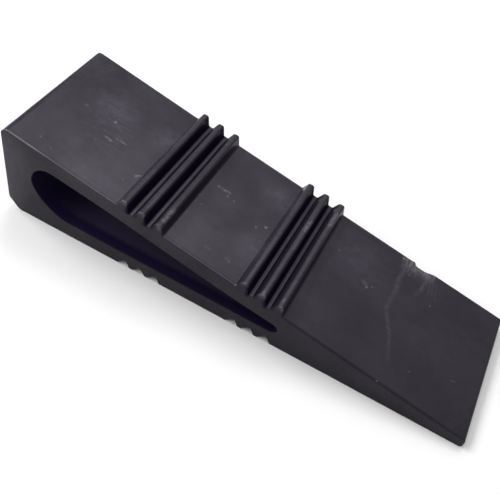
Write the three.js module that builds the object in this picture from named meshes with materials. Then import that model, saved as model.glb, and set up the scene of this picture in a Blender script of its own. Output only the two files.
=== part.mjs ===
// Levelling ramp: one moulded plastic wedge that is pushed under a wheel or a foot.
//
// The wedge has one side outline, which runs unchanged across its width. X runs from the heel to the
// toe, Y across the width and Z up. The origin is at the middle of the underside's rectangle.
// The outline is drawn with x = 0 at the heel's foot, and moved to the origin at the end.

import * as THREE from 'three';

// Driving dimensions, in millimetres.
const BASE_LENGTH = 149.2;
const WIDTH = 46.7;

// The sloped top plane, by its height over the heel's foot and over the toe's end.
const HEEL_HEIGHT = 30.3;
const TOE_HEIGHT = 3.4;

// The heel face leans out a little towards its top.
const HEEL_LEAN = 1.0;
const HEEL_TOP_RADIUS = 2.0;
const HEEL_CHAMFER = 3.6;
const HEEL_CHAMFER_RADIUS = 2.5;
const TOE_TOP_RADIUS = 1.0;
const TOE_BOTTOM_RADIUS = 0.9;

// Tread ribs, in groups on the slope. Each crest is level, so its toe flank is the higher one.
const RIBS_PER_GROUP = 3;
const RIB_GROUP_STARTS = [37.0, 75.65];
const RIB = {
  pitch: 5.55,
  base: 4.05,
  heelRun: 1.65,
  crest: 1.7,
  height: 2.9,
  footRadius: 0.5,
  heelCrestRadius: 0.65,
  toeCrestRadius: 0.8,
};

// Saw-tooth grooves in the underside, one group below each group of ribs.
const GROOVES_PER_GROUP = 3;
const GROOVE_GROUP_STARTS = [38.8, 75.5];
const GROOVE = {
  pitch: 5.15,
  width: 4.1,
  heelRun: 2.2,
  apex: 0.6,
  depth: 2.3,
  edgeRadius: 0.35,
  apexRadius: 0.3,
};

// The teardrop slot across the width: a large round at the heel, a small round at the toe, a level
// floor and a roof that is tangent to both rounds. Its lower heel corner is a flatter curve.
const SLOT = {
  floor: 5.4,
  heelX: 15.0,
  heelZ: 15.9,
  heelRadius: 6.3,
  toeX: 89.0,
  toeRadius: 1.8,
  floorStartX: 22.0,
  cornerFullness: 0.44,
};

const ARC_STEPS = 6;
const RIGHT_ANGLE = Math.PI / 2;
const TOP_SLOPE = (HEEL_HEIGHT - TOE_HEIGHT) / BASE_LENGTH;

function topHeight(x) {
  return HEEL_HEIGHT - TOP_SLOPE * x;
}

function corner(x, z, radius) {
  return { point: new THREE.Vector2(x, z), radius };
}

// Adds to the path one corner of an outline that turns from `before` through `here` to `after`:
// a line up to the start of the round, and then its arc.
function addRoundedCorner(path, before, here, after) {
  const into = before.clone().sub(here.point).normalize();
  const out = after.clone().sub(here.point).normalize();
  const halfAngle = Math.acos(THREE.MathUtils.clamp(into.dot(out), -1, 1)) / 2;
  const reach = here.radius / Math.tan(halfAngle);
  const middle = into.clone().add(out).normalize();
  const centre = here.point.clone().addScaledVector(middle, here.radius / Math.sin(halfAngle));
  const start = here.point.clone().addScaledVector(into, reach).sub(centre);
  const end = here.point.clone().addScaledVector(out, reach).sub(centre);
  const turnsRight = into.cross(out) > 0;
  path.absarc(centre.x, centre.y, here.radius, start.angle(), end.angle(), turnsRight);
}

function roundedOutline(path, corners) {
  const count = corners.length;
  for (let i = 0; i < count; i += 1) {
    const before = corners[(i + count - 1) % count].point;
    const after = corners[(i + 1) % count].point;
    addRoundedCorner(path, before, corners[i], after);
  }
  path.closePath();
  return path;
}

// One rib's corners, from its heel foot to its toe foot.
function ribCorners(footX) {
  const crestZ = topHeight(footX) + RIB.height;
  const crestX = footX + RIB.heelRun;
  const endX = footX + RIB.base;
  return [
    corner(footX, topHeight(footX), RIB.footRadius),
    corner(crestX, crestZ, RIB.heelCrestRadius),
    corner(crestX + RIB.crest, crestZ, RIB.toeCrestRadius),
    corner(endX, topHeight(endX), RIB.footRadius),
  ];
}

// One groove's corners, from its heel edge to its toe edge.
function grooveCorners(startX) {
  const apexX = startX + GROOVE.heelRun;
  return [
    corner(startX, 0, GROOVE.edgeRadius),
    corner(apexX, GROOVE.depth, GROOVE.apexRadius),
    corner(apexX + GROOVE.apex, GROOVE.depth, GROOVE.apexRadius),
    corner(startX + GROOVE.width, 0, GROOVE.edgeRadius),
  ];
}

function repeatedCorners(groupStarts, perGroup, pitch, makeCorners) {
  const corners = [];
  for (const start of groupStarts) {
    for (let i = 0; i < perGroup; i += 1) {
      corners.push(...makeCorners(start + i * pitch));
    }
  }
  return corners;
}

// The outer outline, counter-clockwise: along the underside, up the toe, back up the slope and
// down the heel.
function bodyShape() {
  const grooves = repeatedCorners(GROOVE_GROUP_STARTS, GROOVES_PER_GROUP, GROOVE.pitch, grooveCorners);
  const ribs = repeatedCorners(RIB_GROUP_STARTS, RIBS_PER_GROUP, RIB.pitch, ribCorners);
  const heelEdge = corner(-HEEL_LEAN, topHeight(-HEEL_LEAN), HEEL_TOP_RADIUS);
  return roundedOutline(new THREE.Shape(), [
    corner(HEEL_CHAMFER, 0, HEEL_CHAMFER_RADIUS),
    ...grooves,
    corner(BASE_LENGTH, 0, TOE_BOTTOM_RADIUS),
    corner(BASE_LENGTH, TOE_HEIGHT, TOE_TOP_RADIUS),
    ...ribs.reverse(),
    heelEdge,
    corner(0, HEEL_CHAMFER, HEEL_CHAMFER_RADIUS),
  ]);
}

// The slot's outline. Its roof line touches both rounds, so it leaves them at the same angle.
function slotPath() {
  const heel = new THREE.Vector2(SLOT.heelX, SLOT.heelZ);
  const toe = new THREE.Vector2(SLOT.toeX, SLOT.floor + SLOT.toeRadius);
  const along = toe.clone().sub(heel);
  const spread = Math.acos((SLOT.heelRadius - SLOT.toeRadius) / along.length());
  const roofAngle = along.angle() - 2 * Math.PI + spread;
  const drop = (SLOT.heelZ - SLOT.floor) * SLOT.cornerFullness;
  const run = (SLOT.floorStartX - SLOT.heelX + SLOT.heelRadius) * SLOT.cornerFullness;
  const heelEndX = SLOT.heelX - SLOT.heelRadius;
  const path = new THREE.Path();
  path.moveTo(SLOT.floorStartX, SLOT.floor);
  path.lineTo(toe.x, SLOT.floor);
  path.absarc(toe.x, toe.y, SLOT.toeRadius, -RIGHT_ANGLE, roofAngle, false);
  path.absarc(heel.x, heel.y, SLOT.heelRadius, roofAngle, Math.PI, false);
  path.bezierCurveTo(
    heelEndX, SLOT.heelZ - drop,
    SLOT.floorStartX - run, SLOT.floor,
    SLOT.floorStartX, SLOT.floor,
  );
  return path;
}

function wedgeGeometry() {
  const shape = bodyShape();
  shape.holes.push(slotPath());
  const geometry = new THREE.ExtrudeGeometry(shape, {
    depth: WIDTH,
    bevelEnabled: false,
    curveSegments: ARC_STEPS,
  });
  geometry.rotateX(RIGHT_ANGLE);
  geometry.translate(0, WIDTH / 2, 0);
  return geometry;
}

// Satin black polyolefin with a faint violet cast.
function wedgeMaterial() {
  return new THREE.MeshStandardMaterial({
    color: new THREE.Color(0.035, 0.032, 0.038),
    roughness: 0.45,
    metalness: 0,
  });
}

const wedge = new THREE.Mesh(wedgeGeometry(), wedgeMaterial());
wedge.name = 'wedge_body';

// The heel leans past its foot, so the middle of the outline comes from the finished geometry.
wedge.geometry.computeBoundingBox();
const reach = wedge.geometry.boundingBox;
wedge.position.x = -(reach.min.x + reach.max.x) / 2;

const ramp = new THREE.Group();
ramp.add(wedge);

export default ramp;
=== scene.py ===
"""The looks of the levelling ramp: one injection-moulded wedge of satin black plastic.

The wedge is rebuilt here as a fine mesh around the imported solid, with what a moulding has and a plain
extrusion lacks: broken edges, a flash bead, a torn gate scar and a slight twist. Lengths are in
millimetres until a mesh is made. Inside the mesh code x runs from the heel's foot to the toe, `across`
from the right-hand face (-Y) to the left-hand face (+Y), and z up.
"""

import math

import bpy
import numpy as np
from mathutils import Matrix, Vector, noise
from mathutils.geometry import delaunay_2d_cdt


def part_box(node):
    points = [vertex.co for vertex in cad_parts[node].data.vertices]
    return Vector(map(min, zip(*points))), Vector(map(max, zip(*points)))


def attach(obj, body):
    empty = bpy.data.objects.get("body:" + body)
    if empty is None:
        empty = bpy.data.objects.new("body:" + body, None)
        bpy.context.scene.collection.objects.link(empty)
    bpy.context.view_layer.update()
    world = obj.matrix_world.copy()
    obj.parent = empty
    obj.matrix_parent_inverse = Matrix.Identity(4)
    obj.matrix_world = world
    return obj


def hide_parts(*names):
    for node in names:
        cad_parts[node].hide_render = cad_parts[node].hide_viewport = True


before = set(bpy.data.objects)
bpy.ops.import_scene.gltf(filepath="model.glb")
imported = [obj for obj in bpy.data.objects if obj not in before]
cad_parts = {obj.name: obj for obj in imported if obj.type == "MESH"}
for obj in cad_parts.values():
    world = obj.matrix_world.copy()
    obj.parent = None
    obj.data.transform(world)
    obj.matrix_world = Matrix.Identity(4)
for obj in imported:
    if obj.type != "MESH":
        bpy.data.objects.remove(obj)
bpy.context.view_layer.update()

MM = 0.001
NODE = "wedge_body"

# ---------------------------------------------------------------------------------------------------
# Driving dimensions of the side outline, in millimetres.

LOW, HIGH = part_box(NODE)
WIDTH = (HIGH.y - LOW.y) / MM
BASE_LENGTH = 149.2
HEEL_FOOT_X = HIGH.x / MM - BASE_LENGTH

HEEL_HEIGHT = 30.3
TOE_HEIGHT = 3.4
TOP_SLOPE = (HEEL_HEIGHT - TOE_HEIGHT) / BASE_LENGTH
HEEL_LEAN = 1.0
HEEL_TOP_RADIUS = 2.0
HEEL_CHAMFER = 3.6
HEEL_CHAMFER_RADIUS = 2.5
TOE_TOP_RADIUS = 1.0
TOE_BOTTOM_RADIUS = 0.9

RIBS_PER_GROUP = 3
RIB_GROUP_STARTS = (37.0, 75.65)
RIB_PITCH = 5.55
RIB_BASE = 4.05
RIB_HEEL_RUN = 1.65
RIB_CREST = 1.7
RIB_HEIGHT = 2.9
RIB_FOOT_RADIUS = 0.5
RIB_HEEL_CREST_RADIUS = 0.65
RIB_TOE_CREST_RADIUS = 0.8
RIB_GROUP_LENGTH = (RIBS_PER_GROUP - 1) * RIB_PITCH + RIB_BASE
RIB_GROUP_ENDS = tuple(start + RIB_GROUP_LENGTH for start in RIB_GROUP_STARTS)

GROOVES_PER_GROUP = 3
GROOVE_GROUP_STARTS = (38.8, 75.5)
GROOVE_PITCH = 5.15
GROOVE_WIDTH = 4.1
GROOVE_HEEL_RUN = 2.2
GROOVE_APEX = 0.6
GROOVE_DEPTH = 2.3
GROOVE_EDGE_RADIUS = 0.35
GROOVE_APEX_RADIUS = 0.3

SLOT_FLOOR = 5.4
SLOT_HEEL_X = 15.0
SLOT_HEEL_Z = 15.9
SLOT_HEEL_RADIUS = 6.3
SLOT_TOE_X = 89.0
SLOT_TOE_RADIUS = 1.8
SLOT_FLOOR_START_X = 22.0
SLOT_CORNER_FULLNESS = 0.44

# ---------------------------------------------------------------------------------------------------
# What the moulding adds to the outline, in millimetres.

# How far the side edges are broken. On the near top edge the radius grows from the treads' to the
# toe's over NEAR_TOE_EDGE_RUN past the last rib.
EDGE_RADIUS = 0.12
FAR_TOP_EDGE_RADIUS = 0.15
NEAR_TREAD_EDGE_RADIUS = 0.1
NEAR_TOE_EDGE_RADIUS = 0.6
NEAR_TOE_EDGE_RUN = 1.5

# The flash bead along the near top edge, on the heel and middle treads. It stops short of the ribs.
BEAD_HEIGHT = 0.2
BEAD_CENTRE = 0.35
BEAD_HALF_WIDTH = 0.3
BEAD_GAP = 0.6
BEAD_BAND = 1.6
BEAD_START = 0.8
BEAD_BLEND = 0.5
MIDDLE_BEAD_SHARE = 0.8
ON_TOP = 0.5

# The gate scar, a shallow torn notch in the far top edge.
SCAR_START = 117.2
SCAR_DEEPEST = 119.6
SCAR_END = 125.2
SCAR_DEPTH = 1.0
SCAR_REACH = 3.4
SCAR_BURR = 0.25
SCAR_TEAR = 0.16
SCAR_WALL = 1.3
SCAR_FADE = 4.0
SCAR_MARGIN = 3.0
SCAR_BAND = 6.0

# How the moulding has cooled out of true: the lift of the top's far edge at stations along x, the
# shift of the heel's top edge along x at its near and far ends, and the bow of the slot's roof.
LIFT_STATIONS = (0, 35, 60, 95, 120, 149)
FAR_EDGE_LIFTS = (0.2, -0.16, 0.06, 0.22, 0.42, 0.7)
SKEW_REACH = 95.0
HEEL_SKEW_NEAR = 0.12
HEEL_SKEW_FAR = -1.0
ROOF_BOW = 0.3

# How dark with painted shade, and how dull, two kinds of rib flank are, against 1 for a toe flank that faces
# another rib: the toe flank of a group's last rib, and the heel flanks inside a group. Between two ribs the
# painted shade goes on this far past the toe flank's foot. It fades out up the flank, except at its far end.
LAST_FLANK_SHARE = 0.4
HEEL_FLANK_SHARE = 0.4
FLANK_PAST_FOOT = 0.4
FLANK_BLEND = 0.15
FLANK_FADE_FROM, FLANK_FADE_TO = 2.2, 3.3
FAR_END_FROM, FAR_END_TO = 5.0, 1.5

# The slot's lining goes from painted shade to painted light over these distances in from each face, and over
# these x.
SLOT_LIGHT_FROM, SLOT_LIGHT_TO = 3.0, 4.6
SLOT_LIGHT_START_X, SLOT_LIGHT_FULL_X = 10.0, 34.0

# Where the plastic is whitened, and how much: beside the gate scar, down to SCAR_WEAR_DROP below the
# top and more in streaks close to the edge, on the ribs' near ends above RIB_END_LIFT, and along the bead.
SCAR_WEAR_START, SCAR_WEAR_END = 113.9, 124.6
SCAR_WEAR_FROM, SCAR_WEAR_TO = 39.5, 44.0
SCAR_STREAKS_FROM, SCAR_STREAKS_TO = 41.5, 45.0
SCAR_WEAR_DROP = 1.6
SCAR_WEAR = 0.03
SCAR_STREAKS_WEAR = 0.16
RIB_END_WEAR = 0.16
RIB_END_LIFT = 2.2
MIDDLE_BEAD_WEAR = 0.7
WEAR_BLEND = 0.6

# Mesh spacing: lengths in millimetres, and counts of steps and rows. The sweep's rows lie closest
# together by the far face, where the gate scar is.
ARC_STEP = math.radians(11)
EDGE_STEPS = 5
COARSE_STEP = 1.5
FINE_STEP = 0.28
FINE_FROM, FINE_TO = 111.0, 129.0
CAP_SPACING = 1.3
EDGE_MARGIN = 0.12
CORNER_STEPS = 14
NEAR_ROWS = (0.8, 1.0, 1.3, 1.8, 2.5)
NEAR_ROW_SHARES = (0.2, 0.4, 0.6, 0.8)
FIRST_MIDDLE_ROW = 3.8
MIDDLE_ROWS_END = 7.5
MIDDLE_ROW_STEP = 1.5
FAR_ROWS_REACH = 6.6
FAR_ROWS_END = 0.5
FAR_ROW_STEP = 0.3
SLOT_END_ROWS = (0.8, 1.6)
SLOT_MIDDLE_INSET = 3.0
SLOT_MIDDLE_ROWS = 26


def smoothstep(low, high, value):
    """0 below low, 1 above high, and an S-shaped rise between them, for numbers and arrays."""
    t = np.clip((value - low) / (high - low), 0.0, 1.0)
    return t * t * (3.0 - 2.0 * t)


def window(value, start, end, ramp):
    """1 between start and end, and 0 outside them, with a soft ramp at each end."""
    return smoothstep(start - ramp, start + ramp, value) * (1 - smoothstep(end - ramp, end + ramp, value))


def grain(points, scale, seed=0.0, octaves=3):
    """Seeded fractal noise, about -1 to 1, at points of an (n, 3) array."""
    shift = Vector((seed * 17.3, seed * 5.1, seed * 9.7))
    values = [noise.fractal(Vector(p) * scale + shift, 0.7, 2.1, octaves) for p in points]
    return np.array(values)


# ---------------------------------------------------------------------------------------------------
# Outlines. Each is a list of (x, z) points, closed, and counter-clockwise round its material.

def top_height(x):
    return HEEL_HEIGHT - TOP_SLOPE * x


def arc(centre, radius, start, end):
    """Points on an arc from angle start to angle end, ends included."""
    steps = max(3, math.ceil(abs(end - start) / ARC_STEP))
    angles = np.linspace(start, end, steps + 1)
    return [(centre[0] + radius * math.cos(a), centre[1] + radius * math.sin(a)) for a in angles]


def rounded_corner(before, corner, after):
    """The arc that rounds one corner (x, z, radius) of an outline."""
    here = Vector(corner[:2])
    radius = corner[2]
    into = (Vector(before[:2]) - here).normalized()
    out = (Vector(after[:2]) - here).normalized()
    half_angle = into.angle(out) / 2
    centre = here + (into + out).normalized() * (radius / math.sin(half_angle))
    reach = radius / math.tan(half_angle)
    first = here + into * reach - centre
    last = here + out * reach - centre
    start = math.atan2(first.y, first.x)
    turn = math.remainder(math.atan2(last.y, last.x) - start, math.tau)
    return arc(centre, radius, start, start + turn)


def step_at(x, z):
    """How far apart points lie on a straight stretch: closer on the top beside the gate scar."""
    beside_scar = FINE_FROM < x < FINE_TO and z > 0.5 * top_height(x)
    return FINE_STEP if beside_scar else COARSE_STEP


def straight(start, end):
    """Points between start and end, without the two ends. A point close to each end keeps it crisp."""
    a, b = Vector(start), Vector(end)
    length = (b - a).length
    if length < 4 * EDGE_MARGIN:
        return []
    points = [a.lerp(b, EDGE_MARGIN / length)]
    travelled = EDGE_MARGIN
    while True:
        here = a.lerp(b, travelled / length)
        travelled += step_at(here.x, here.y)
        if travelled > length - EDGE_MARGIN * 2:
            break
        points.append(a.lerp(b, travelled / length))
    points.append(a.lerp(b, 1 - EDGE_MARGIN / length))
    return [tuple(p) for p in points]


def rounded_outline(corners):
    count = len(corners)
    arcs = [rounded_corner(corners[i - 1], corners[i], corners[(i + 1) % count]) for i in range(count)]
    points = []
    for i, bend in enumerate(arcs):
        points += bend
        points += straight(bend[-1], arcs[(i + 1) % count][0])
    return points


def rib_corners(foot):
    crest_z = top_height(foot) + RIB_HEIGHT
    crest_x = foot + RIB_HEEL_RUN
    end = foot + RIB_BASE
    return [
        (foot, top_height(foot), RIB_FOOT_RADIUS),
        (crest_x, crest_z, RIB_HEEL_CREST_RADIUS),
        (crest_x + RIB_CREST, crest_z, RIB_TOE_CREST_RADIUS),
        (end, top_height(end), RIB_FOOT_RADIUS),
    ]


def groove_corners(start):
    apex = start + GROOVE_HEEL_RUN
    return [
        (start, 0, GROOVE_EDGE_RADIUS),
        (apex, GROOVE_DEPTH, GROOVE_APEX_RADIUS),
        (apex + GROOVE_APEX, GROOVE_DEPTH, GROOVE_APEX_RADIUS),
        (start + GROOVE_WIDTH, 0, GROOVE_EDGE_RADIUS),
    ]


def repeated(starts, per_group, pitch, make_corners):
    return [c for start in starts for i in range(per_group) for c in make_corners(start + i * pitch)]


def body_outline():
    grooves = repeated(GROOVE_GROUP_STARTS, GROOVES_PER_GROUP, GROOVE_PITCH, groove_corners)
    ribs = repeated(RIB_GROUP_STARTS, RIBS_PER_GROUP, RIB_PITCH, rib_corners)
    return rounded_outline([
        (HEEL_CHAMFER, 0, HEEL_CHAMFER_RADIUS),
        *grooves,
        (BASE_LENGTH, 0, TOE_BOTTOM_RADIUS),
        (BASE_LENGTH, TOE_HEIGHT, TOE_TOP_RADIUS),
        *reversed(ribs),
        (-HEEL_LEAN, top_height(-HEEL_LEAN), HEEL_TOP_RADIUS),
        (0, HEEL_CHAMFER, HEEL_CHAMFER_RADIUS),
    ])


def roof_bow(x, z):
    """How far the slot's roof lies above or below its straight line: up by the heel, down by the toe."""
    start = SLOT_HEEL_X
    turn = math.tau * (x - start) / (SLOT_TOE_X - start)
    on_roof = smoothstep(SLOT_FLOOR + 2, SLOT_FLOOR + 3, z)
    return ROOF_BOW * math.sin(min(max(turn, 0), math.tau)) * float(on_roof)


def slot_outline():
    """The slot, clockwise, so that material lies on the same side of it as of the body's outline."""
    heel = Vector((SLOT_HEEL_X, SLOT_HEEL_Z))
    toe = Vector((SLOT_TOE_X, SLOT_FLOOR + SLOT_TOE_RADIUS))
    along = toe - heel
    spread = math.acos((SLOT_HEEL_RADIUS - SLOT_TOE_RADIUS) / along.length)
    roof_angle = math.atan2(along.y, along.x) + spread
    toe_round = arc(toe, SLOT_TOE_RADIUS, -math.pi / 2, roof_angle)
    heel_round = arc(heel, SLOT_HEEL_RADIUS, roof_angle, math.pi)
    heel_end = Vector((SLOT_HEEL_X - SLOT_HEEL_RADIUS, SLOT_HEEL_Z))
    floor_start = Vector((SLOT_FLOOR_START_X, SLOT_FLOOR))
    drop = Vector((0, (heel_end.y - floor_start.y) * SLOT_CORNER_FULLNESS))
    run = Vector(((floor_start.x - heel_end.x) * SLOT_CORNER_FULLNESS, 0))
    corner = []
    for t in np.linspace(0, 1, CORNER_STEPS + 1)[1:]:
        u = 1 - t
        p = u ** 3 * heel_end + 3 * u * u * t * (heel_end - drop) + 3 * u * t * t * (floor_start - run)
        corner.append(tuple(p + t ** 3 * floor_start))
    points = [*toe_round, *straight(toe_round[-1], heel_round[0]), *heel_round, *corner]
    points += straight(corner[-1], toe_round[0])
    return [(x, z + roof_bow(x, z)) for x, z in points[::-1]]


def outward_normals(outline):
    """Unit normals in the outline's plane that point away from the material."""
    points = np.array(outline)
    ahead = np.roll(points, -1, axis=0) - points
    behind = points - np.roll(points, 1, axis=0)
    ahead /= np.linalg.norm(ahead, axis=1)[:, None]
    behind /= np.linalg.norm(behind, axis=1)[:, None]
    along = ahead + behind
    along /= np.linalg.norm(along, axis=1)[:, None]
    return np.stack([along[:, 1], -along[:, 0]], axis=1)


# ---------------------------------------------------------------------------------------------------
# The fine mesh: each outline swept across the width, and a triangulated face on either side.

def edge_radii(points, normals, far):
    """How far each outline point's side edge is broken, on the near or the far face."""
    x = points[:, 0]
    top = smoothstep(0.75, 0.97, normals[:, 1])
    if far:
        return EDGE_RADIUS + (FAR_TOP_EDGE_RADIUS - EDGE_RADIUS) * top
    toe = smoothstep(RIB_GROUP_ENDS[1], RIB_GROUP_ENDS[1] + NEAR_TOE_EDGE_RUN, x)
    toe *= 1 - smoothstep(BASE_LENGTH - 2.5, BASE_LENGTH - 0.5, x)
    on_top = NEAR_TREAD_EDGE_RADIUS + (NEAR_TOE_EDGE_RADIUS - NEAR_TREAD_EDGE_RADIUS) * toe
    return EDGE_RADIUS + (on_top - EDGE_RADIUS) * top


def stations():
    """Distances of the sweep's rows from the near face, between the two edge rounds' ends."""
    middle = np.arange(FIRST_MIDDLE_ROW, WIDTH - MIDDLE_ROWS_END, MIDDLE_ROW_STEP)
    far = WIDTH - np.arange(FAR_ROWS_REACH, FAR_ROWS_END, -FAR_ROW_STEP)
    return [*NEAR_ROWS, *middle, *far]


def sweep(points, normals, near_radii, far_radii, rows_between):
    """Rows of the outline from the near face to the far one, as an (m, n, 3) array of x, across, z."""
    rows = []

    def add(inset, across):
        flat = points - normals * inset[:, None]
        rows.append(np.stack([flat[:, 0], across, flat[:, 1]], axis=1))

    for angle in np.linspace(0, math.pi / 2, EDGE_STEPS + 1):
        add(near_radii * (1 - math.sin(angle)), near_radii * (1 - math.cos(angle)))
    still = np.zeros(len(points))
    for share in NEAR_ROW_SHARES:
        add(still, near_radii + (rows_between[0] - near_radii) * share)
    for distance in rows_between:
        add(still, np.full(len(points), distance))
    for angle in np.linspace(math.pi / 2, 0, EDGE_STEPS + 1):
        add(far_radii * (1 - math.sin(angle)), WIDTH - far_radii * (1 - math.cos(angle)))
    return np.array(rows)


def skin_faces(rows, count, first):
    faces = []
    for row in range(rows - 1):
        for i in range(count):
            a = first + row * count + i
            b = first + row * count + (i + 1) % count
            faces.append((a, a + count, b + count, b))
    return faces


def inside(outline, points):
    """True for each point that lies inside the outline, by the even-odd rule."""
    found = np.zeros(len(points), bool)
    for (x0, z0), (x1, z1) in zip(outline, np.roll(outline, -1, axis=0)):
        spans = (z0 > points[:, 1]) != (z1 > points[:, 1])
        if z1 != z0:
            crossing = x0 + (points[:, 1] - z0) * (x1 - x0) / (z1 - z0)
            found ^= spans & (points[:, 0] < crossing)
    return found


def inner_grid(body, slot):
    """Points spread over the side face, clear of its two outlines."""
    rims = np.vstack([body, slot])
    xs = np.arange(0, BASE_LENGTH, CAP_SPACING)
    zs = np.arange(0, HEEL_HEIGHT, CAP_SPACING)
    grid = np.array([(x + (0.5 * CAP_SPACING if i % 2 else 0), z) for i, z in enumerate(zs) for x in xs])
    grid = grid[inside(body, grid) & ~inside(slot, grid)]
    clear = [np.min(np.sum((rims - g) ** 2, axis=1)) > (0.5 * CAP_SPACING) ** 2 for g in grid]
    return grid[clear]


def side_face(body, slot):
    """Extra points and triangles that fill the side face between the body's rim and the slot's rim.

    Point numbers run over the body's rim, then the slot's, then the extra points."""
    extra = inner_grid(body, slot)
    points = np.vstack([body, slot, extra])
    edges = []
    for first, count in ((0, len(body)), (len(body), len(slot))):
        edges += [(first + i, first + (i + 1) % count) for i in range(count)]
    inside_only = 1
    made = delaunay_2d_cdt([Vector(p) for p in points], edges, [], inside_only, 1e-6)
    triangles = np.array([[min(made[3][v]) for v in face] for face in made[2]])
    in_material = ~inside(slot, points[triangles].mean(axis=1))
    return extra, triangles[in_material].tolist()


def warped(points):
    """The cooled moulding: the far side of its top out of level, and its heel edge out of square."""
    x, across, z = points.T
    share = across / WIDTH
    height = np.clip(z / np.maximum(top_height(x), TOE_HEIGHT), 0, 1)
    heelward = np.clip(1 - x / SKEW_REACH, 0, None)
    points[:, 2] += share * height * np.interp(x, LIFT_STATIONS, FAR_EDGE_LIFTS)
    points[:, 0] += height * heelward ** 2 * (HEEL_SKEW_NEAR + (HEEL_SKEW_FAR - HEEL_SKEW_NEAR) * share)
    return points


def scar_shape(x):
    """The notch's depth along its length: a steep wall at the heel end, a slow run-out at the toe end."""
    wall = smoothstep(SCAR_START, SCAR_START + SCAR_WALL, x)
    run_out = 1 - smoothstep(SCAR_DEEPEST + 1.0, SCAR_END, x)
    return wall * run_out


def scarred(points):
    """Cuts the gate scar into the far top edge, and raises a burr at its heel end."""
    x, across, z = points.T
    beside = (x > SCAR_START - SCAR_MARGIN) & (x < SCAR_END + SCAR_MARGIN)
    near = beside & (across > WIDTH - SCAR_BAND) & (z > 0.2 * top_height(x))
    chosen = points[near]
    inward = WIDTH - chosen[:, 1]
    below = top_height(chosen[:, 0]) - chosen[:, 2]
    fade = np.clip(1 - below / SCAR_FADE, 0, 1)
    uneven = grain(chosen, 1.1, seed=3)
    tear = grain(chosen * (1, 0.45, 1), 2.6, seed=4, octaves=4)
    reach = SCAR_REACH * (0.8 + 0.35 * uneven)
    share = scar_shape(chosen[:, 0]) * (1 - smoothstep(0.25 * reach, reach, inward))
    depth = SCAR_DEPTH * share + SCAR_TEAR * tear * np.sqrt(share)
    burr = np.exp(-((chosen[:, 0] - SCAR_START + 0.25) / 0.35) ** 2) * np.exp(-inward / 0.5)
    points[near, 2] -= (depth - SCAR_BURR * burr) * fade
    return points


def beaded(points):
    """Raises the flash bead on the near top edge, where the treads are plain."""
    x, across, z = points.T
    on_top = (np.abs(z - top_height(x)) < ON_TOP) & (across < BEAD_BAND)
    chosen = points[on_top]
    where = chosen[:, 0]
    heel = window(where, BEAD_START, RIB_GROUP_STARTS[0] - BEAD_GAP, BEAD_BLEND)
    middle = window(where, RIB_GROUP_ENDS[0] + BEAD_GAP, RIB_GROUP_STARTS[1] - BEAD_GAP, BEAD_BLEND)
    along = chosen * (1, 0, 0)
    ragged = 0.75 + 0.5 * grain(along, 0.9, seed=7) + 0.25 * grain(along, 3.5, seed=8)
    strength = heel * (1.1 - 0.4 * smoothstep(8, 22, where)) + MIDDLE_BEAD_SHARE * middle
    shape = np.exp(-((chosen[:, 1] - BEAD_CENTRE) / BEAD_HALF_WIDTH) ** 2)
    points[on_top, 2] += BEAD_HEIGHT * strength * np.clip(ragged, 0.1, 1.6) * shape
    return points


def wedge_mesh():
    """Points (x, across, z), faces, and which points line the slot."""
    body = np.array(body_outline())
    slot = np.array(slot_outline())
    body_normals = outward_normals(body)
    slot_normals = outward_normals(slot)
    near_radii = edge_radii(body, body_normals, far=False)
    far_radii = edge_radii(body, body_normals, far=True)
    body_rows = sweep(body, body_normals, near_radii, far_radii, stations())
    slot_radii = np.full(len(slot), EDGE_RADIUS)
    slot_middle = np.linspace(SLOT_MIDDLE_INSET, WIDTH - SLOT_MIDDLE_INSET, SLOT_MIDDLE_ROWS)
    slot_far_end = [WIDTH - row for row in reversed(SLOT_END_ROWS)]
    slot_stations = [*SLOT_END_ROWS, *slot_middle, *slot_far_end]
    slot_rows = sweep(slot, slot_normals, slot_radii, slot_radii, slot_stations)

    slot_first = body_rows.shape[0] * len(body)
    skin_count = slot_first + slot_rows.shape[0] * len(slot)
    points = [body_rows.reshape(-1, 3), slot_rows.reshape(-1, 3)]
    faces = skin_faces(len(body_rows), len(body), 0)
    faces += skin_faces(len(slot_rows), len(slot), slot_first)
    count = skin_count
    for row, across in ((0, 0.0), (-1, WIDTH)):
        extra, triangles = side_face(body_rows[row][:, [0, 2]], slot_rows[row][:, [0, 2]])
        body_rim = 0 if row == 0 else slot_first - len(body)
        slot_rim = slot_first if row == 0 else skin_count - len(slot)
        number = [*range(body_rim, body_rim + len(body)), *range(slot_rim, slot_rim + len(slot))]
        number += range(count, count + len(extra))
        for triangle in triangles:
            face = tuple(number[v] for v in triangle)
            faces.append(face if row == 0 else face[::-1])
        points.append(np.stack([extra[:, 0], np.full(len(extra), across), extra[:, 1]], axis=1))
        count += len(extra)
    lines_slot = np.zeros(count, bool)
    lines_slot[slot_first:skin_count] = True
    return np.vstack(points), faces, lines_slot


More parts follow.
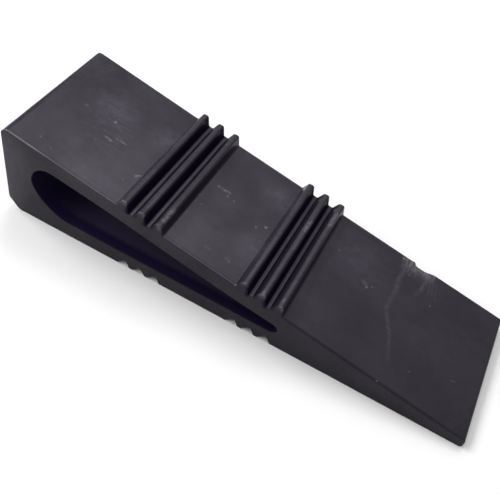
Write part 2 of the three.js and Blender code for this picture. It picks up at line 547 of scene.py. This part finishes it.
def flank_shade(points, lines_slot):
    """Painted shade on the rib flanks: 0 on open faces, up to 1 on the ribs' toe flanks, and less on the
    heel flanks inside a group.

    Both kinds of flank inside a group are shaded in full at their far ends."""
    x, across, z = points.T
    above_top = z - top_height(x)
    far_end = smoothstep(WIDTH - FAR_END_FROM, WIDTH - FAR_END_TO, across)
    low = np.maximum(1 - smoothstep(FLANK_FADE_FROM, FLANK_FADE_TO, above_top), far_end)
    on_rib = above_top > -0.1
    shade = np.zeros(len(points))
    for start in RIB_GROUP_STARTS:
        for i in range(RIBS_PER_GROUP):
            foot = start + i * RIB_PITCH
            crest_end = foot + RIB_HEEL_RUN + RIB_CREST
            last = i == RIBS_PER_GROUP - 1
            past_foot = 0.0 if last else FLANK_PAST_FOOT
            flank = window(x, crest_end, foot + RIB_BASE + past_foot, FLANK_BLEND)
            flank *= LAST_FLANK_SHARE if last else 1.0
            heel_flank = window(x, foot, foot + RIB_HEEL_RUN, FLANK_BLEND)
            heel_share = np.maximum(HEEL_FLANK_SHARE, far_end) if i > 0 else 0.0
            flank = np.maximum(flank, heel_share * heel_flank)
            shade = np.maximum(shade, flank * low * on_rib)
    return np.where(lines_slot, 0.0, shade)


def lining_share(points, lines_slot):
    """1 inside the slot, where its colour is painted with shade and light, and 0 elsewhere."""
    inward = np.minimum(points[:, 1], WIDTH - points[:, 1])
    return np.where(lines_slot, smoothstep(0, 0.8, inward), 0.0)


def painted_slot_light(points):
    """Painted light inside the slot: 0 near the two side faces and in the heel round, and 1 deeper in and
    further toward the toe.
    """
    inward = np.minimum(points[:, 1], WIDTH - points[:, 1])
    toeward = smoothstep(SLOT_LIGHT_START_X, SLOT_LIGHT_FULL_X, points[:, 0])
    return smoothstep(SLOT_LIGHT_FROM, SLOT_LIGHT_TO, inward) * toeward


def side_share(points):
    """1 on the two flat side faces, and 0 elsewhere."""
    inward = np.minimum(points[:, 1], WIDTH - points[:, 1])
    return 1 - smoothstep(0.0, 0.1, inward)


def wear_marks(points):
    """Whitened plastic: round the gate scar, on the flash bead and on the near ends of the ribs."""
    x, across, z = points.T
    above_top = z - top_height(x)
    ragged = 0.5 + 0.9 * grain(points * (1, 0.6, 1), 0.9, seed=11, octaves=4)
    fan = 0.5 + 1.1 * grain(points * (1, 0.22, 0.3), 1.5, seed=12, octaves=3)
    scar = window(x, SCAR_WEAR_START, SCAR_WEAR_END, 2 * WEAR_BLEND)
    scar *= smoothstep(SCAR_WEAR_FROM, SCAR_WEAR_TO, across) * (above_top > -SCAR_WEAR_DROP)
    streaks = np.clip(fan, 0, 1) * smoothstep(SCAR_STREAKS_FROM, SCAR_STREAKS_TO, across)
    scar *= SCAR_WEAR + SCAR_STREAKS_WEAR * streaks
    rib_end = (above_top > RIB_END_LIFT) * (1 - smoothstep(0.2, 0.6, across))
    rib_end = rib_end * RIB_END_WEAR * np.clip(ragged, 0, 1)
    bead = window(x, 0.5, RIB_GROUP_STARTS[0], WEAR_BLEND)
    bead += MIDDLE_BEAD_WEAR * window(x, RIB_GROUP_ENDS[0], RIB_GROUP_STARTS[1], WEAR_BLEND)
    by_edge = smoothstep(0.0, 0.08, across) * (1 - smoothstep(0.3, 0.75, across))
    bead *= (np.abs(above_top) < ON_TOP) * by_edge
    even = 0.8 + 0.35 * grain(points * (1, 0, 0), 0.7, seed=13)
    bead *= 0.04 + 0.12 * np.clip(even, 0.3, 1.2) * (2.0 - 1.3 * smoothstep(8, 18, x))
    return np.maximum.reduce([scar, rib_end, bead])


def build_wedge():
    """The one piece, with the attributes that its material reads."""
    points, faces, lines_slot = wedge_mesh()
    x, across, z = points.T
    surface_place = np.stack([x, across, z - top_height(x)], axis=1)
    marks = {
        "painted_flank_shade": flank_shade(points, lines_slot),
        "slot_lining": lining_share(points, lines_slot),
        "painted_slot_light": painted_slot_light(points),
        "side_face": side_share(points),
        "worn": wear_marks(points),
    }
    placed = warped(scarred(beaded(points))) * MM
    placed[:, 0] += HEEL_FOOT_X * MM
    placed[:, 1] += LOW.y
    mesh = bpy.data.meshes.new("ramp_moulding")
    mesh.from_pydata(placed.tolist(), [], faces)
    place = mesh.attributes.new("surface_place", "FLOAT_VECTOR", "POINT")
    place.data.foreach_set("vector", surface_place.ravel())
    for name, values in marks.items():
        mesh.attributes.new(name, "FLOAT", "POINT").data.foreach_set("value", values)
    mesh.validate()
    mesh.polygons.foreach_set("use_smooth", [True] * len(mesh.polygons))
    piece = bpy.data.objects.new("ramp_moulding", mesh)
    bpy.context.scene.collection.objects.link(piece)
    normals = piece.modifiers.new("crisp_faces", "WEIGHTED_NORMAL")
    normals.mode = "FACE_AREA"
    normals.keep_sharp = False
    return piece


# ---------------------------------------------------------------------------------------------------
# Material.

BODY_COLOUR = (0.0135, 0.0116, 0.0165, 1)
# Painted shade on the rib flanks: a dark violet in place of the shadow between the ribs.
FLANK_SHADE_COLOUR = (0.0062, 0.0040, 0.0140, 1)
# Painted shade and light in the slot: dark violet near its mouths and in its heel round, and lighter deeper
# in.
SLOT_SHADE_COLOUR = (0.0115, 0.0074, 0.0285, 1)
SLOT_LIGHT_COLOUR = (0.0350, 0.0300, 0.0540, 1)
# White for whitened plastic, and also for the painted light along the valley floors.
SCUFF_AND_LIGHT_COLOUR = (0.48, 0.45, 0.45, 1)
# Bluish white for hazes, and also for the painted sheen on the treads and the painted light on the side
# face.
HAZE_AND_LIGHT_COLOUR = (0.44, 0.42, 0.51, 1)
SPECULAR_LEVEL = 0.2
SPECULAR_SWING = 0.15
ROUGHNESS = 0.27
ROUGHNESS_SWING = 0.035

# The sheen of the duller parts, against 1 for the treads, and how much roughness flanks, lining and
# scuffs add.
SIDE_SHEEN = 0.55
FLANK_SHEEN = 0.1
LINING_SHEEN = 0.22
FLANK_DULLNESS = 0.35
LINING_DULLNESS = 0.2
SCUFF_DULLNESS = 0.5

# Noise scales, per millimetre: soft mottling, a finer cloud over it, and the skin's grain.
MOTTLE_SCALE = 0.07
CLOUD_SCALE = 0.33
SKIN_SCALE = 2.6

# Drag lines and fine scratches are noise that is stretched along the ramp by these factors.
DRAG_STRETCH = (0.12, 1.6, 1.6)
SCRATCH_STRETCH = (0.2, 1.1, 1.1)

# Dust specks: cells per millimetre, and how strong a speck is. Relief: its height and strength.
SPECK_CELLS = 0.22
SPECK_STRENGTH = 0.22
RELIEF_HEIGHT = 0.02 * MM
RELIEF_STRENGTH = 0.6

# Scuffs and flow marks on the treads: two ends (x, across) in millimetres, width and strength.
STREAKS = (
    (20.1, 25.3, 20.3, 25.5, 0.45, 0.40),
    (10.3, 24.4, 10.5, 24.6, 0.40, 0.12),
    (21.0, 18.6, 23.4, 18.2, 0.50, 0.24),
    (24.0, 20.3, 27.0, 20.3, 0.45, 0.16),
    (19.7, 15.2, 19.9, 15.4, 0.40, 0.12),
    (35.3, 12.5, 36.3, 13.6, 0.40, 0.30),
    (33.4, 8.8, 33.5, 8.9, 0.35, 0.20),
    (23.0, 4.4, 23.2, 4.5, 0.35, 0.20),
    (55.0, 27.2, 59.2, 27.4, 0.50, 0.20),
    (59.2, 25.9, 59.4, 25.8, 0.40, 0.30),
    (61.4, 25.7, 61.6, 25.7, 0.40, 0.30),
    (51.9, 32.2, 52.0, 32.5, 0.40, 0.45),
    (73.4, 23.7, 73.6, 24.0, 0.45, 0.40),
    (71.0, 21.8, 71.1, 22.0, 0.40, 0.35),
    (74.2, 18.1, 74.3, 18.4, 0.40, 0.15),
    (52.5, 20.2, 52.6, 20.4, 0.40, 0.12),
    (54.6, 17.4, 54.7, 17.6, 0.40, 0.12),
    (62.6, 5.5, 64.4, 5.5, 0.60, 0.08),
    (69.2, 6.0, 70.8, 5.8, 0.60, 0.08),
    (106.1, 27.7, 106.4, 27.5, 1.30, 0.10),
    (107.2, 26.6, 107.4, 26.8, 0.40, 0.25),
    (115.6, 45.0, 114.9, 37.6, 1.30, 0.060),
    (114.9, 37.6, 115.3, 31.7, 1.40, 0.050),
    (115.3, 31.7, 114.9, 24.0, 1.10, 0.034),
    (114.9, 24.0, 117.1, 19.5, 1.00, 0.044),
    (117.1, 19.5, 118.9, 16.3, 0.90, 0.046),
    (118.9, 16.3, 120.0, 12.6, 0.80, 0.036),
    (120.0, 12.6, 121.4, 8.5, 0.70, 0.026),
    (123.4, 44.6, 122.2, 38.0, 1.00, 0.070),
    (122.2, 38.0, 121.4, 34.8, 0.90, 0.030),
    (123.9, 44.5, 124.6, 38.6, 0.60, 0.035),
    (125.0, 44.0, 125.9, 38.2, 0.60, 0.030),
    (126.2, 43.5, 127.3, 37.6, 0.60, 0.025),
    (117.0, 45.5, 116.2, 41.0, 0.60, 0.070),
    (118.4, 45.5, 117.2, 40.4, 0.60, 0.070),
    (119.8, 45.5, 118.8, 41.2, 0.60, 0.060),
    (113.6, 45.5, 113.7, 45.3, 0.55, 0.500),
    (115.4, 45.6, 114.2, 42.0, 0.70, 0.090),
    (120.6, 0.0, 120.8, 0.2, 0.40, 0.30),
    (127.9, 9.0, 128.1, 9.1, 0.35, 0.15),
    (140.2, 15.1, 141.2, 15.1, 0.60, 0.06),
    (75.6, 0.3, 78.0, 2.3, 0.35, 0.30),
)

# Painted light along the valley floors between a group's ribs, a little to the toe side of the middle.
VALLEY_LIGHT_WIDTH = 0.6
VALLEY_LIGHT_STRENGTH = 0.030
VALLEY_LIGHT_SHIFT = 0.15
VALLEY_MIDDLE = (RIB_BASE + RIB_PITCH) / 2
VALLEYS = [
    start + i * RIB_PITCH + VALLEY_MIDDLE + VALLEY_LIGHT_SHIFT
    for start in RIB_GROUP_STARTS
    for i in range(RIBS_PER_GROUP - 1)
]
PAINTED_VALLEY_LIGHT = tuple(
    (x, 0.4, x, WIDTH - 1.0, VALLEY_LIGHT_WIDTH, VALLEY_LIGHT_STRENGTH) for x in VALLEYS
)

# Scuffs on the ribs' crests, in the same terms, and an even wear all along the crests.
CREST_HEIGHT = 3.3
CREST_WEAR = 0.035
CREST_SCUFFS = (
    (50.9, 2.0, 51.1, 7.0, 1.10, 0.130),
    (45.4, 3.0, 45.6, 8.0, 0.90, 0.030),
    (83.9, 28.5, 84.1, 33.0, 1.10, 0.130),
    (84.0, 20.0, 84.0, 27.0, 0.90, 0.040),
    (89.4, 36.0, 89.6, 42.0, 1.20, 0.130),
    (88.9, 2.0, 89.1, 3.0, 0.70, 0.110),
    (83.4, 0.8, 83.6, 1.6, 0.60, 0.100),
    (78.4, 8.0, 78.6, 22.0, 0.80, 0.020),
)

# Broad, faint lightening: centre (x, across, height over the tread), radius in millimetres, and strength.
# Those by the treads' near edge, at across 4 to 5, are painted sheen, the last two are painted light on the
# heel end of the near side face, and the rest are hazes.
HAZES_AND_PAINTED_LIGHT = (
    # Painted sheen by the treads' near edge, here and in the entries at across 5 and 4 below.
    (32.0, 4.0, 0.0, 20.0, 0.030),
    (17.0, 29.0, 0.0, 11.0, 0.040),
    (35.0, 31.0, 0.0, 9.0, 0.040),
    (56.0, 5.0, 0.0, 12.0, 0.022),
    (72.0, 37.0, 0.0, 9.0, 0.038),
    (73.0, 15.0, 0.0, 8.5, 0.042),
    (103.0, 33.0, 0.0, 19.0, 0.022),
    (95.0, 4.0, 0.0, 12.0, 0.010),
    (145.0, 8.0, 0.0, 15.0, 0.008),
    # Painted light: the heel end of the near side face made lighter where the light falls.
    (-3.0, 0.0, -10.0, 17.0, 0.075),
    (-3.0, 0.0, -24.0, 13.0, 0.070),
)

# Fine brushed scuffing on the heel tread.
BRUSHED_CENTRE = (21.0, 22.0, 0.0)
BRUSHED_RADIUS = 14.0
BRUSHED_STRENGTH = 0.055


class Nodes:
    """Adds shader nodes to a tree. A number or a tuple sets an input, and another node's socket feeds it."""

    def __init__(self, tree):
        self.tree = tree

    def add(self, kind, inputs=None, **settings):
        made = self.tree.nodes.new(kind)
        for name, value in settings.items():
            setattr(made, name, value)
        for key, value in (inputs or {}).items():
            if isinstance(value, bpy.types.NodeSocket):
                self.tree.links.new(value, made.inputs[key])
            else:
                made.inputs[key].default_value = value
        return made

    def math(self, operation, first, second=0.0, clamp=False):
        made = self.add("ShaderNodeMath", {0: first, 1: second}, operation=operation, use_clamp=clamp)
        return made.outputs[0]

    def vector(self, operation, first, second, output="Vector"):
        made = self.add("ShaderNodeVectorMath", {0: first, 1: second}, operation=operation)
        return made.outputs[output]

    def ramp(self, value, low, high, at_low, at_high):
        """An S-shaped change from at_low to at_high as the value goes from low to high."""
        inputs = {"Value": value, "From Min": low, "From Max": high, "To Min": at_low, "To Max": at_high}
        made = self.add("ShaderNodeMapRange", inputs, interpolation_type="SMOOTHSTEP")
        return made.outputs["Result"]

    def noise(self, place, scale, detail=2.0, rough=0.5):
        inputs = {"Vector": place, "Scale": scale, "Detail": detail, "Roughness": rough}
        return self.add("ShaderNodeTexNoise", inputs).outputs["Fac"]

    def attribute(self, name, output):
        return self.add("ShaderNodeAttribute", attribute_name=name).outputs[output]

    def mix(self, share, first, second):
        made = self.add("ShaderNodeMix", {"Factor": share, "A": first, "B": second}, data_type="RGBA")
        return made.outputs[2]


def streak_group():
    """A soft-edged line from From to To, added to the marks Below it where it is the stronger."""
    group = bpy.data.node_groups.new("streak", "ShaderNodeTree")
    for name in ("Place", "From", "To"):
        group.interface.new_socket(name, in_out="INPUT", socket_type="NodeSocketVector")
    for name in ("Width", "Strength", "Below"):
        group.interface.new_socket(name, in_out="INPUT", socket_type="NodeSocketFloat")
    group.interface.new_socket("Marks", in_out="OUTPUT", socket_type="NodeSocketFloat")
    nodes = Nodes(group)
    given = nodes.add("NodeGroupInput").outputs
    span = nodes.vector("SUBTRACT", given["To"], given["From"])
    offset = nodes.vector("SUBTRACT", given["Place"], given["From"])
    gone = nodes.vector("DOT_PRODUCT", offset, span, "Value")
    length_squared = nodes.vector("DOT_PRODUCT", span, span, "Value")
    share = nodes.math("DIVIDE", gone, length_squared, clamp=True)
    beside = nodes.add("ShaderNodeVectorMath", {0: span, "Scale": share}, operation="SCALE").outputs[0]
    distance = nodes.vector("DISTANCE", offset, beside, "Value")
    mark = nodes.ramp(distance, 0.0, given["Width"], given["Strength"], 0.0)
    marks = nodes.math("MAXIMUM", given["Below"], mark)
    nodes.add("NodeGroupOutput", {"Marks": marks})
    return group


def add_streaks(nodes, place):
    """The strength of the scuffs, the flow marks and the painted light along the valley floors at a place on
    the treads.
    """
    group = streak_group()
    noise_inputs = {"Vector": place, "Scale": 0.8, "Detail": 3.0}
    ragged = nodes.add("ShaderNodeTexNoise", noise_inputs).outputs["Color"]
    centred = nodes.vector("SUBTRACT", ragged, (0.5, 0.5, 0.5))
    shifted = nodes.vector("ADD", place, nodes.vector("MULTIPLY", centred, (1.1, 1.1, 0.0)))
    lines = [(0, *streak) for streak in STREAKS + PAINTED_VALLEY_LIGHT]
    lines += [(CREST_HEIGHT, *scuff) for scuff in CREST_SCUFFS]
    marks = 0.0
    for height, x0, y0, x1, y1, width, strength in lines:
        inputs = {"Place": shifted, "From": (x0, y0, height), "To": (x1, y1, height)}
        inputs |= {"Width": width, "Strength": strength, "Below": marks}
        marks = nodes.add("ShaderNodeGroup", inputs, node_tree=group).outputs["Marks"]
    broken = nodes.ramp(nodes.noise(place, 1.2, 4.0, 0.65), 0.36, 0.62, 0.15, 1.25)
    return nodes.math("MULTIPLY", marks, broken)


def add_hazes_and_light(nodes, place):
    """The strength of the hazes, painted sheen and painted light at a place, all added up."""
    total = 0.0
    for x, across, height, radius, strength in HAZES_AND_PAINTED_LIGHT:
        distance = nodes.vector("DISTANCE", place, (x, across, height), "Value")
        total = nodes.math("ADD", nodes.ramp(distance, 0.0, radius, strength, 0.0), total)
    return total


def add_specks(nodes, place):
    """The strength of the dust specks: one white point in each of a few random cells."""
    inputs = {"Vector": place, "Scale": SPECK_CELLS, "Randomness": 1.0}
    cells = nodes.add("ShaderNodeTexVoronoi", inputs)
    speck = nodes.ramp(cells.outputs["Distance"], 0.03, 0.07, SPECK_STRENGTH, 0.0)
    cell_value = nodes.add("ShaderNodeSeparateColor", {0: cells.outputs["Color"]}).outputs[0]
    chosen = nodes.ramp(cell_value, 0.80, 0.85, 0.0, 1.0)
    return nodes.math("MULTIPLY", speck, chosen)


def add_crest_wear(nodes, place):
    above_tread = nodes.add("ShaderNodeSeparateXYZ", {0: place}).outputs["Z"]
    on_crest = nodes.ramp(above_tread, RIB_HEIGHT - 0.6, RIB_HEIGHT, 0.0, 1.0)
    rubbed = nodes.ramp(nodes.noise(place, 1.7, 5.0, 0.7), 0.45, 0.75, 0.0, CREST_WEAR)
    return nodes.math("MULTIPLY", on_crest, rubbed)


def add_brushing(nodes, place):
    """Fine scratches along the ramp, round one place on the heel tread."""
    stretched = nodes.vector("MULTIPLY", place, SCRATCH_STRETCH)
    fine = nodes.noise(stretched, 1.0, 3.0, 0.6)
    distance = nodes.vector("DISTANCE", place, BRUSHED_CENTRE, "Value")
    brushed_part = nodes.ramp(distance, 3.0, BRUSHED_RADIUS, 1.0, 0.0)
    scratches = nodes.ramp(fine, 0.48, 0.7, 0.0, BRUSHED_STRENGTH)
    return nodes.math("MULTIPLY", scratches, brushed_part)


def add_grey(nodes, place, mottle, cloud, side):
    """The haze colour's share of the colour: hazes, painted sheen and painted light, mottling, crest wear
    and fine scratches.
    """
    patchy = nodes.ramp(cloud, 0.35, 0.7, -0.5, 0.6)
    unevenness = nodes.math("MULTIPLY", patchy, nodes.ramp(side, 0.0, 1.0, 1.0, 0.15))
    cloudy = nodes.math("ADD", unevenness, 1.0)
    haze_and_light = nodes.math("MULTIPLY", add_hazes_and_light(nodes, place), cloudy)
    grey = nodes.math("ADD", haze_and_light, nodes.ramp(mottle, 0.35, 0.7, 0.0, 0.004))
    grey = nodes.math("ADD", grey, add_crest_wear(nodes, place))
    return nodes.math("ADD", grey, add_brushing(nodes, place), clamp=True)


def satin_black():
    """The plastic's material. The mesh's attributes tell it where a point lies, what it is part of, and
    where shade and light are painted into its colour.
    """
    material = bpy.data.materials.new("satin_black")
    material.use_nodes = True
    nodes = Nodes(material.node_tree)
    shader = material.node_tree.nodes["Principled BSDF"]
    place = nodes.attribute("surface_place", "Vector")
    flank = nodes.attribute("painted_flank_shade", "Fac")
    lining = nodes.attribute("slot_lining", "Fac")
    slot_light_share = nodes.attribute("painted_slot_light", "Fac")
    side = nodes.attribute("side_face", "Fac")
    worn = nodes.attribute("worn", "Fac")

    mottle = nodes.noise(place, MOTTLE_SCALE, 4.0, 0.6)
    cloud = nodes.noise(place, CLOUD_SCALE, 5.0, 0.65)
    lines = nodes.noise(nodes.vector("MULTIPLY", place, DRAG_STRETCH), 1.0, 4.0, 0.7)

    # Colour: the part's own black with painted shade on the rib flanks and painted shade and light in the
    # slot, then the haze, painted sheen and painted light over it, and then the white marks and the painted
    # light in the valleys.
    open_face = nodes.ramp(nodes.math("MAXIMUM", flank, lining), 0.0, 0.6, 1.0, 0.0)
    marks = nodes.math("MAXIMUM", add_streaks(nodes, place), add_specks(nodes, place))
    grey = nodes.math("MULTIPLY", add_grey(nodes, place, mottle, cloud, side), open_face)
    scuffs_and_light = nodes.math("MAXIMUM", worn, marks)
    whitening = nodes.math("MULTIPLY", scuffs_and_light, open_face, clamp=True)
    # Painted shade in the slot, turning to painted light deeper in.
    painted_slot_colour = nodes.mix(slot_light_share, SLOT_SHADE_COLOUR, SLOT_LIGHT_COLOUR)
    colour = nodes.mix(lining, nodes.mix(flank, BODY_COLOUR, FLANK_SHADE_COLOUR), painted_slot_colour)
    hazed_and_lit = nodes.mix(grey, colour, HAZE_AND_LIGHT_COLOUR)
    nodes.tree.links.new(nodes.mix(whitening, hazed_and_lit, SCUFF_AND_LIGHT_COLOUR), shader.inputs["Base Color"])

    least, most = (1 - SPECULAR_SWING) * SPECULAR_LEVEL, (1 + SPECULAR_SWING) * SPECULAR_LEVEL
    sheen = nodes.ramp(mottle, 0.3, 0.7, least, most)
    for part, share in ((flank, FLANK_SHEEN), (lining, LINING_SHEEN), (side, SIDE_SHEEN)):
        sheen = nodes.math("MULTIPLY", sheen, nodes.ramp(part, 0.0, 1.0, 1.0, share))
    nodes.tree.links.new(sheen, shader.inputs["Specular IOR Level"])

    rough = nodes.ramp(cloud, 0.3, 0.7, ROUGHNESS - ROUGHNESS_SWING, ROUGHNESS + ROUGHNESS_SWING)
    rough = nodes.math("ADD", rough, nodes.ramp(lines, 0.35, 0.75, -0.02, 0.03))
    flank_dull = nodes.math("MULTIPLY", flank, FLANK_DULLNESS)
    lining_dull = nodes.math("MULTIPLY", lining, LINING_DULLNESS)
    scuff_dull = nodes.math("MULTIPLY", scuffs_and_light, SCUFF_DULLNESS)
    dull = nodes.math("MAXIMUM", nodes.math("MAXIMUM", flank_dull, lining_dull), scuff_dull)
    rough = nodes.math("ADD", rough, dull, clamp=True)
    nodes.tree.links.new(rough, shader.inputs["Roughness"])

    skin = nodes.noise(place, SKIN_SCALE, 4.0, 0.6)
    ripple = nodes.math("ADD", nodes.math("MULTIPLY", skin, 0.25), nodes.math("MULTIPLY", cloud, 0.6))
    relief = nodes.math("ADD", ripple, nodes.math("MULTIPLY", lines, 0.1))
    inputs = {"Height": relief, "Strength": RELIEF_STRENGTH, "Distance": RELIEF_HEIGHT}
    bump = nodes.add("ShaderNodeBump", inputs)
    nodes.tree.links.new(bump.outputs["Normal"], shader.inputs["Normal"])
    return material


def plain_material(name, colour, roughness):
    material = bpy.data.materials.new(name)
    material.use_nodes = True
    shader = material.node_tree.nodes["Principled BSDF"]
    shader.inputs["Base Color"].default_value = (*colour, 1)
    shader.inputs["Roughness"].default_value = roughness
    return material


# ---------------------------------------------------------------------------------------------------
# Stage: a plain pale floor, soft studio light, and the camera.

# The paint leans the other way from the light, so that the floor looks white. The floor lies just
# below the wedge's base. Its opening's edges lie inside the base's by OPENING_INSET.
FLOOR_COLOUR = (0.85, 0.88, 0.80)
FLOOR_ROUGHNESS = 0.8
FLOOR_REACH = 3.0
FLOOR_DROP = 0.01 * MM
OPENING_INSET = 3.0 * MM


def rectangle(low_x, low_y, high_x, high_y, z):
    return [(low_x, low_y, z), (high_x, low_y, z), (high_x, high_y, z), (low_x, high_y, z)]


def make_floor():
    """A plain floor. An opening under the wedge lets the underside be seen from below."""
    outer = rectangle(-FLOOR_REACH, -FLOOR_REACH, FLOOR_REACH, FLOOR_REACH, -FLOOR_DROP)
    base_start = LOW.x + (HEEL_LEAN + HEEL_CHAMFER) * MM
    opening = rectangle(
        base_start + OPENING_INSET, LOW.y + OPENING_INSET,
        HIGH.x - OPENING_INSET, HIGH.y - OPENING_INSET, -FLOOR_DROP,
    )
    ring = [(0, 1, 5, 4), (1, 2, 6, 5), (2, 3, 7, 6), (3, 0, 4, 7)]
    mesh = bpy.data.meshes.new("floor")
    mesh.from_pydata(outer + opening, [], ring)
    floor = bpy.data.objects.new("floor", mesh)
    bpy.context.scene.collection.objects.link(floor)
    floor.data.materials.append(plain_material("floor_paint", FLOOR_COLOUR, FLOOR_ROUGHNESS))


LIGHT_COLOUR = (1.0, 0.965, 1.06)
WORLD_STRENGTH = 0.45

# Softboxes: azimuth from +X and elevation in degrees, distance and side in metres, and watts.
SOFTBOXES = {
    "left_near": (220, 37.5, 0.5, 0.25, 0.76),
    "right": (0, 30, 1.3, 0.45, 1.1),
    "left": (180, 45, 1.3, 0.45, 9.0),
    "back_low": (120, 30, 1.3, 0.45, 1.2),
    "back_high": (120, 60, 1.3, 0.45, 2.3),
    "back_middle": (90, 60, 1.3, 0.45, 1.8),
    "back_centre": (90, 45, 1.3, 0.45, 0.65),
    "back_right": (60, 45, 1.3, 0.45, 0.55),
}


def softbox(name, place, side, power):
    """A square lamp that is aimed at the origin."""
    light = bpy.data.lights.new(name, "AREA")
    light.shape = "RECTANGLE"
    light.size = side
    light.size_y = side
    light.energy = power
    light.color = LIGHT_COLOUR
    lamp = bpy.data.objects.new(name, light)
    lamp.location = place
    lamp.rotation_mode = "QUATERNION"
    lamp.rotation_quaternion = (-lamp.location).to_track_quat("-Z", "Y")
    bpy.context.scene.collection.objects.link(lamp)


def make_light():
    world = bpy.data.worlds.new("studio")
    world.use_nodes = True
    background = world.node_tree.nodes["Background"]
    background.inputs["Color"].default_value = (*LIGHT_COLOUR, 1)
    background.inputs["Strength"].default_value = WORLD_STRENGTH
    bpy.context.scene.world = world
    for name, (azimuth, elevation, distance, side, power) in SOFTBOXES.items():
        a, e = math.radians(azimuth), math.radians(elevation)
        place = Vector((math.cos(a) * math.cos(e), math.sin(a) * math.cos(e), math.sin(e))) * distance
        softbox(name, place, side, power)


# The camera looks along +Y, turned by its azimuth towards -X and by its elevation down from level, in
# degrees. Its place is in millimetres.
CAMERA_AZIMUTH = 13.711
CAMERA_ELEVATION = 48.522
CAMERA_ROLL = 17.046
CAMERA_LENS = 48.93
SENSOR = 36.0
CAMERA_PLACE = (29.45, -133.85, 161.4)


def make_camera():
    azimuth, elevation = math.radians(CAMERA_AZIMUTH), math.radians(CAMERA_ELEVATION)
    forward = Vector((
        -math.sin(azimuth) * math.cos(elevation),
        math.cos(azimuth) * math.cos(elevation),
        -math.sin(elevation),
    ))
    level = Vector((math.cos(azimuth), math.sin(azimuth), 0))
    right = Matrix.Rotation(-math.radians(CAMERA_ROLL), 3, forward) @ level
    up = right.cross(forward)
    data = bpy.data.cameras.new("camera")
    data.lens = CAMERA_LENS
    data.sensor_width = SENSOR
    data.clip_start, data.clip_end = 0.01, 20
    camera = bpy.data.objects.new("camera", data)
    camera.matrix_world = Matrix.Translation(Vector(CAMERA_PLACE) * MM) @ Matrix((
        (right.x, up.x, -forward.x),
        (right.y, up.y, -forward.y),
        (right.z, up.z, -forward.z),
    )).to_4x4()
    bpy.context.scene.collection.objects.link(camera)
    bpy.context.scene.camera = camera


make_camera()
make_floor()
make_light()
bpy.context.scene.view_settings.view_transform = "Standard"

wedge = build_wedge()
wedge.data.materials.append(satin_black())
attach(wedge, "root")
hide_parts(NODE)
